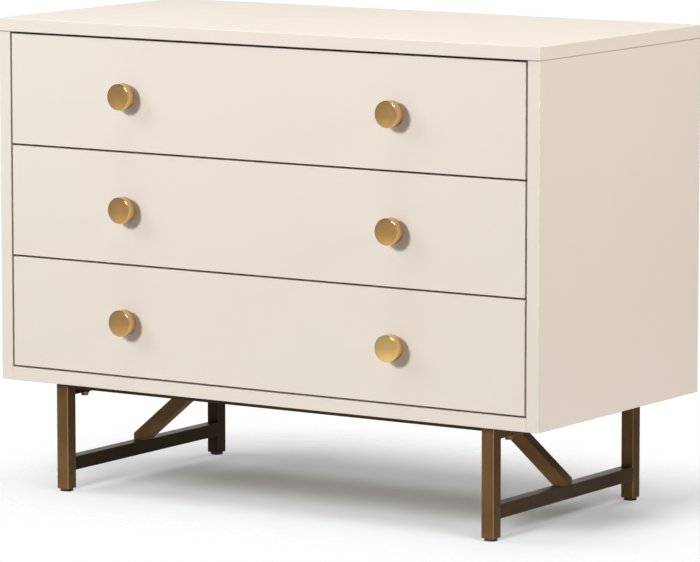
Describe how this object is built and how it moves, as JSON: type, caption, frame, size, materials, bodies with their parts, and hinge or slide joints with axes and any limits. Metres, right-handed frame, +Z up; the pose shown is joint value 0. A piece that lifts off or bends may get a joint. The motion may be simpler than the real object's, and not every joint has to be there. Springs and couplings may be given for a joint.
{
  "type": "nightstand",
  "caption": "Wide lacquered nightstand with full-width inset drawers on telescopic runners, round brass knobs and a low braced square-tube metal base.",
  "frame": {"origin": "on the floor, under the middle of the overall box, which takes in the knobs", "axes": "+X to the right as seen from the front, along the width; +Y to the back; +Z up. The drawers open towards -Y"},
  "size_m": [0.917, 0.473, 0.691],
  "materials": {
    "ivory_lacquer": "smooth satin ivory lacquer on board",
    "back_board": "thin painted back board",
    "drawer_wood": "clear-varnished birch",
    "dowel_beech": "plain beech",
    "knob_brass": "aged satin brass",
    "base_bronze": "dark bronze, brushed and toned",
    "bolt_bronze": "dark bronze",
    "runner_steel": "zinc-plated sheet",
    "screw_steel": "zinc-plated",
    "glide_plastic": "matt dark plastic"
  },
  "bodies": {
    "cabinet": {"back_cross_bar": "base_bronze", "back_panel": "back_board", "back_panel_screws": "screw_steel", "base_bolts": "bolt_bronze", "base_washers": "bolt_bronze", "bottom_panel": "ivory_lacquer", "carcass_dowels": "dowel_beech", "centre_cross_bar": "base_bronze", "foot_glides": "glide_plastic", "front_cross_bar": "base_bronze", "left_back_leg": "base_bronze", "left_brace": "base_bronze", "left_front_leg": "base_bronze", "left_side_panel": "ivory_lacquer", "left_side_rail": "base_bronze", "left_stretcher": "base_bronze", "lower_runner_cabinet_members": "runner_steel", "middle_runner_cabinet_members": "runner_steel", "right_back_leg": "base_bronze", "right_brace": "base_bronze", "right_front_leg": "base_bronze", "right_side_panel": "ivory_lacquer", "right_side_rail": "base_bronze", "right_stretcher": "base_bronze", "top_panel": "ivory_lacquer", "upper_runner_cabinet_members": "runner_steel"},
    "lower_drawer": {"lower_drawer_back": "drawer_wood", "lower_drawer_bottom": "drawer_wood", "lower_drawer_box_front": "drawer_wood", "lower_drawer_front": "ivory_lacquer", "lower_drawer_knob_screws": "screw_steel", "lower_drawer_left_knob": "knob_brass", "lower_drawer_left_side": "drawer_wood", "lower_drawer_right_knob": "knob_brass", "lower_drawer_right_side": "drawer_wood", "lower_runner_drawer_members": "runner_steel"},
    "lower_runner": {"lower_runner_middle_members": "runner_steel"},
    "middle_drawer": {"middle_drawer_back": "drawer_wood", "middle_drawer_bottom": "drawer_wood", "middle_drawer_box_front": "drawer_wood", "middle_drawer_front": "ivory_lacquer", "middle_drawer_knob_screws": "screw_steel", "middle_drawer_left_knob": "knob_brass", "middle_drawer_left_side": "drawer_wood", "middle_drawer_right_knob": "knob_brass", "middle_drawer_right_side": "drawer_wood", "middle_runner_drawer_members": "runner_steel"},
    "middle_runner": {"middle_runner_middle_members": "runner_steel"},
    "upper_drawer": {"upper_drawer_back": "drawer_wood", "upper_drawer_bottom": "drawer_wood", "upper_drawer_box_front": "drawer_wood", "upper_drawer_front": "ivory_lacquer", "upper_drawer_knob_screws": "screw_steel", "upper_drawer_left_knob": "knob_brass", "upper_drawer_left_side": "drawer_wood", "upper_drawer_right_knob": "knob_brass", "upper_drawer_right_side": "drawer_wood", "upper_runner_drawer_members": "runner_steel"},
    "upper_runner": {"upper_runner_middle_members": "runner_steel"}
  },
  "joints": [
    {"name": "lower_drawer_slide", "type": "slide", "parent": "cabinet", "child": "lower_drawer", "axis": [0, -1, 0], "range_m": [0, 0.33]},
    {"name": "lower_runner_slide", "type": "slide", "parent": "cabinet", "child": "lower_runner", "axis": [0, -1, 0], "range_m": [0, 0.165]},
    {"name": "middle_drawer_slide", "type": "slide", "parent": "cabinet", "child": "middle_drawer", "axis": [0, -1, 0], "range_m": [0, 0.33]},
    {"name": "middle_runner_slide", "type": "slide", "parent": "cabinet", "child": "middle_runner", "axis": [0, -1, 0], "range_m": [0, 0.165]},
    {"name": "upper_drawer_slide", "type": "slide", "parent": "cabinet", "child": "upper_drawer", "axis": [0, -1, 0], "range_m": [0, 0.33]},
    {"name": "upper_runner_slide", "type": "slide", "parent": "cabinet", "child": "upper_runner", "axis": [0, -1, 0], "range_m": [0, 0.165]}
  ],
  "couplings": [
    {"joint": "lower_runner_slide", "follows": "lower_drawer_slide", "ratio": 0.5},
    {"joint": "middle_runner_slide", "follows": "middle_drawer_slide", "ratio": 0.5},
    {"joint": "upper_runner_slide", "follows": "upper_drawer_slide", "ratio": 0.5}
  ]
}
